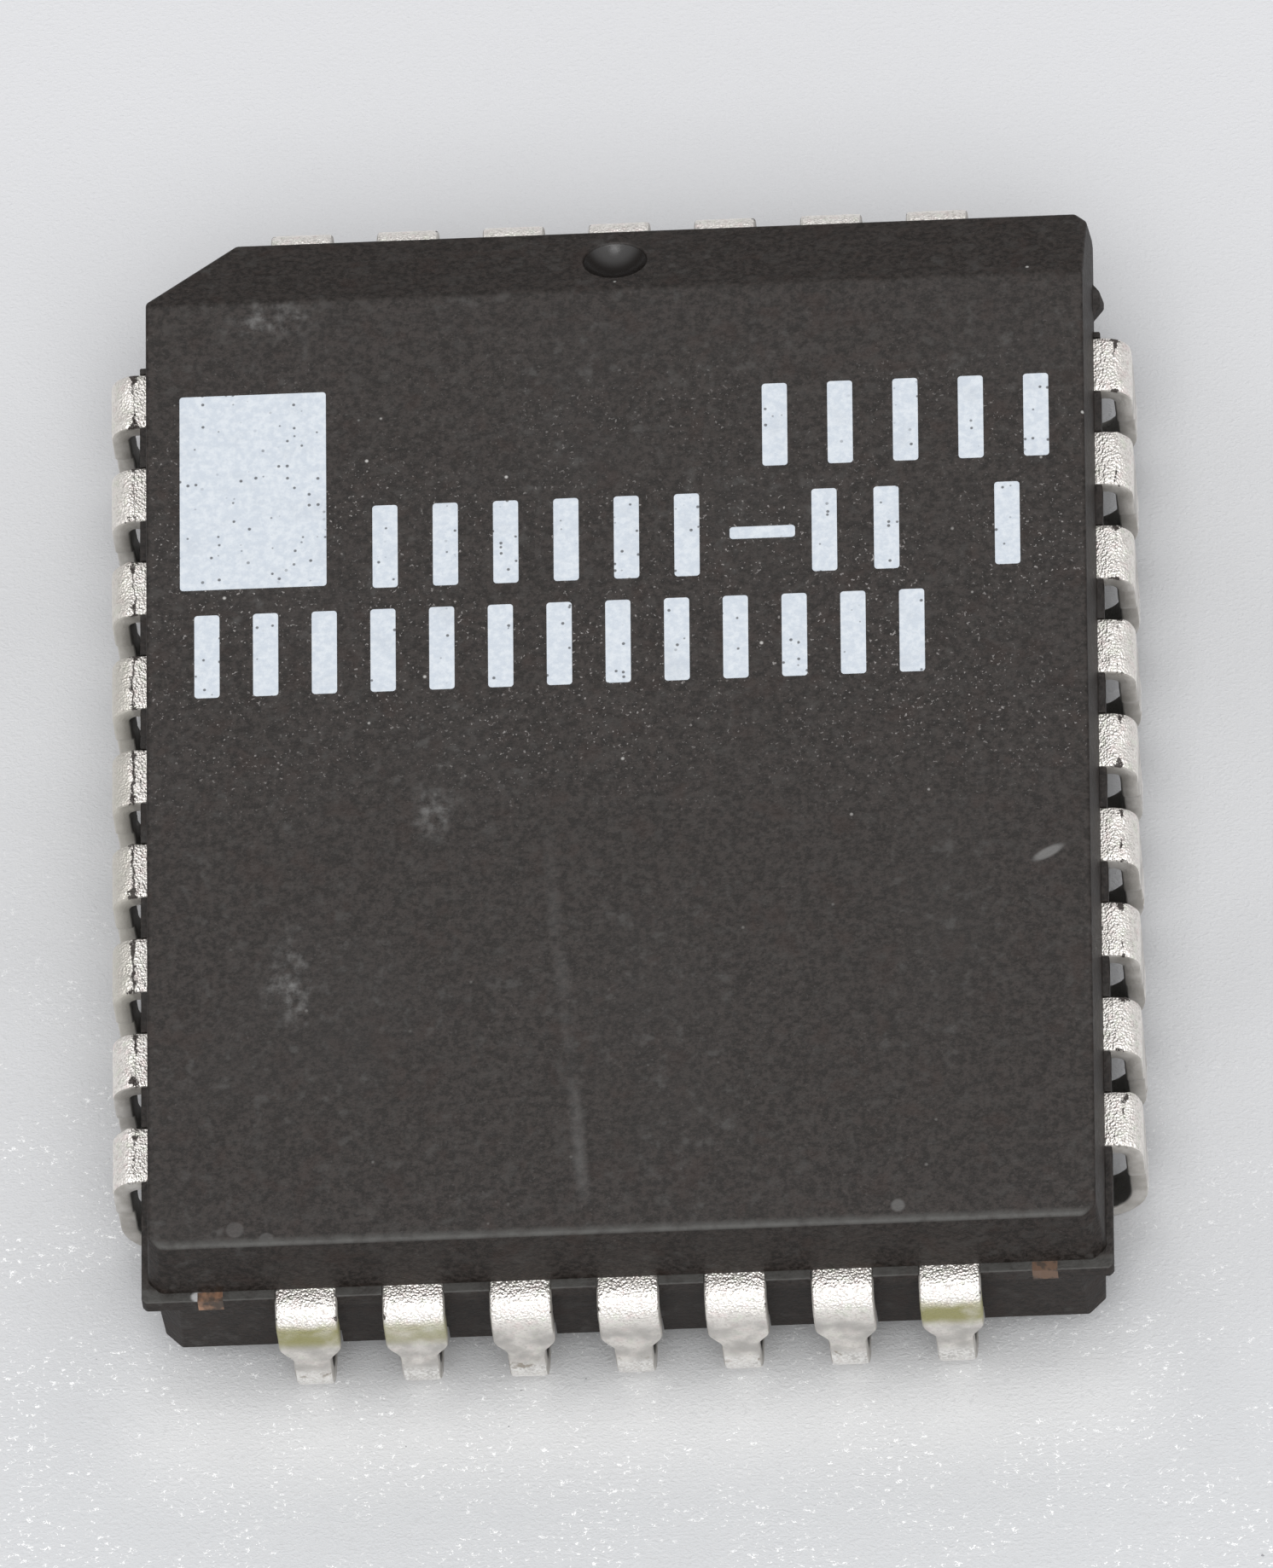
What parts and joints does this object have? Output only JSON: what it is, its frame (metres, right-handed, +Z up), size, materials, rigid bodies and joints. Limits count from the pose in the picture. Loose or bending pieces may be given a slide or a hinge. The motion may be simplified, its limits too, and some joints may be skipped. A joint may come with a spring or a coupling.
{
  "type": "plastic leaded chip carrier",
  "caption": "Memory chip in a rectangular moulded plastic carrier, with J shaped leads curled under all four sides and a bevelled lead 1 end.",
  "frame": {"origin": "middle of the footprint on the seating plane that the lead feet stand on", "axes": "+Z up out of the top face, X along the short ends, +Y towards the end with lead 1"},
  "size_m": [0.0122, 0.0148, 0.0032],
  "materials": {
    "moulding_compound": "fine satin grain of a black epoxy moulding",
    "tinned_lead": "matte tin plating with a coarse crystalline grain",
    "copper_sheet": "stamped copper alloy",
    "die_adhesive": "silver filled adhesive",
    "silicon": "polished silicon",
    "gold_wire": "drawn gold wire"
  },
  "bodies": {
    "root": {"moulded_body": "moulding_compound", "die_paddle": "copper_sheet", "die_adhesive": "die_adhesive", "memory_die": "silicon", "bond_wires_right": "gold_wire", "bond_wires_far": "gold_wire", "bond_wires_left": "gold_wire", "bond_wires_near": "gold_wire", "lead_01": "tinned_lead", "lead_02": "tinned_lead", "lead_03": "tinned_lead", "lead_04": "tinned_lead", "lead_05": "tinned_lead", "lead_06": "tinned_lead", "lead_07": "tinned_lead", "lead_08": "tinned_lead", "lead_09": "tinned_lead", "lead_10": "tinned_lead", "lead_11": "tinned_lead", "lead_12": "tinned_lead", "lead_13": "tinned_lead", "lead_14": "tinned_lead", "lead_15": "tinned_lead", "lead_16": "tinned_lead", "lead_17": "tinned_lead", "lead_18": "tinned_lead", "lead_19": "tinned_lead", "lead_20": "tinned_lead", "lead_21": "tinned_lead", "lead_22": "tinned_lead", "lead_23": "tinned_lead", "lead_24": "tinned_lead", "lead_25": "tinned_lead", "lead_26": "tinned_lead", "lead_27": "tinned_lead", "lead_28": "tinned_lead", "lead_29": "tinned_lead", "lead_30": "tinned_lead", "lead_31": "tinned_lead", "lead_32": "tinned_lead"}
  },
  "joints": []
}
